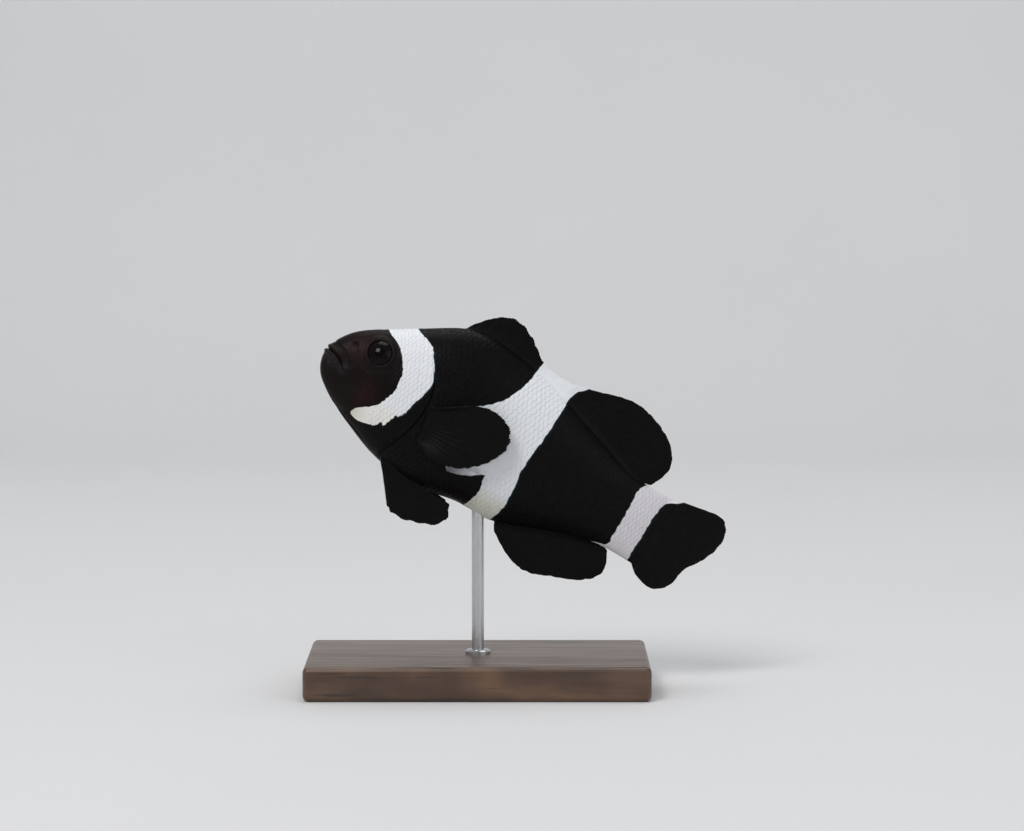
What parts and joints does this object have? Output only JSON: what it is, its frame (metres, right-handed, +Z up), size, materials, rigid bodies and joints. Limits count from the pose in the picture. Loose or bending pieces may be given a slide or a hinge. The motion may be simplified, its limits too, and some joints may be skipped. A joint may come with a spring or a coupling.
{
  "type": "clownfish model on display stand",
  "caption": "Life-size still model of a black clownfish with white bars, swimming nose up, held by a rod over a flat wooden base.",
  "frame": {"origin": "Centre of the underside of the stand's base, straight below the rod.", "axes": "+X runs from the snout towards the tail, +Y is the fish's right, +Z is up. The fish is tipped 28.5 degrees nose up about Y."},
  "size_m": [0.0864, 0.042, 0.0762],
  "materials": {
    "black_skin": "painted cast resin, black skin under fine scales, satin",
    "white_skin": "painted cast resin, white bars under fine scales, satin",
    "black_fin": "painted cast resin, thin ribbed fins, satin",
    "eye": "polished glass eye with a dark brown iris",
    "base_wood": "oiled walnut, satin",
    "rod_steel": "fine brushed steel"
  },
  "bodies": {
    "root": {"head": "black_skin", "lower_jaw": "black_skin", "gill_cover_left": "white_skin", "gill_cover_right": "white_skin", "eye_left": "eye", "eye_right": "eye", "trunk_front": "black_skin", "trunk_band": "white_skin", "trunk_rear": "black_skin", "tail_stalk": "white_skin", "dorsal_fin_spiny": "black_fin", "dorsal_fin_soft": "black_fin", "anal_fin": "black_fin", "caudal_fin": "black_fin", "pectoral_fin_left": "black_fin", "pectoral_fin_right": "black_fin", "pelvic_fin_left": "black_fin", "pelvic_fin_right": "black_fin", "stand_base": "base_wood", "stand_rod": "rod_steel"}
  },
  "joints": []
}
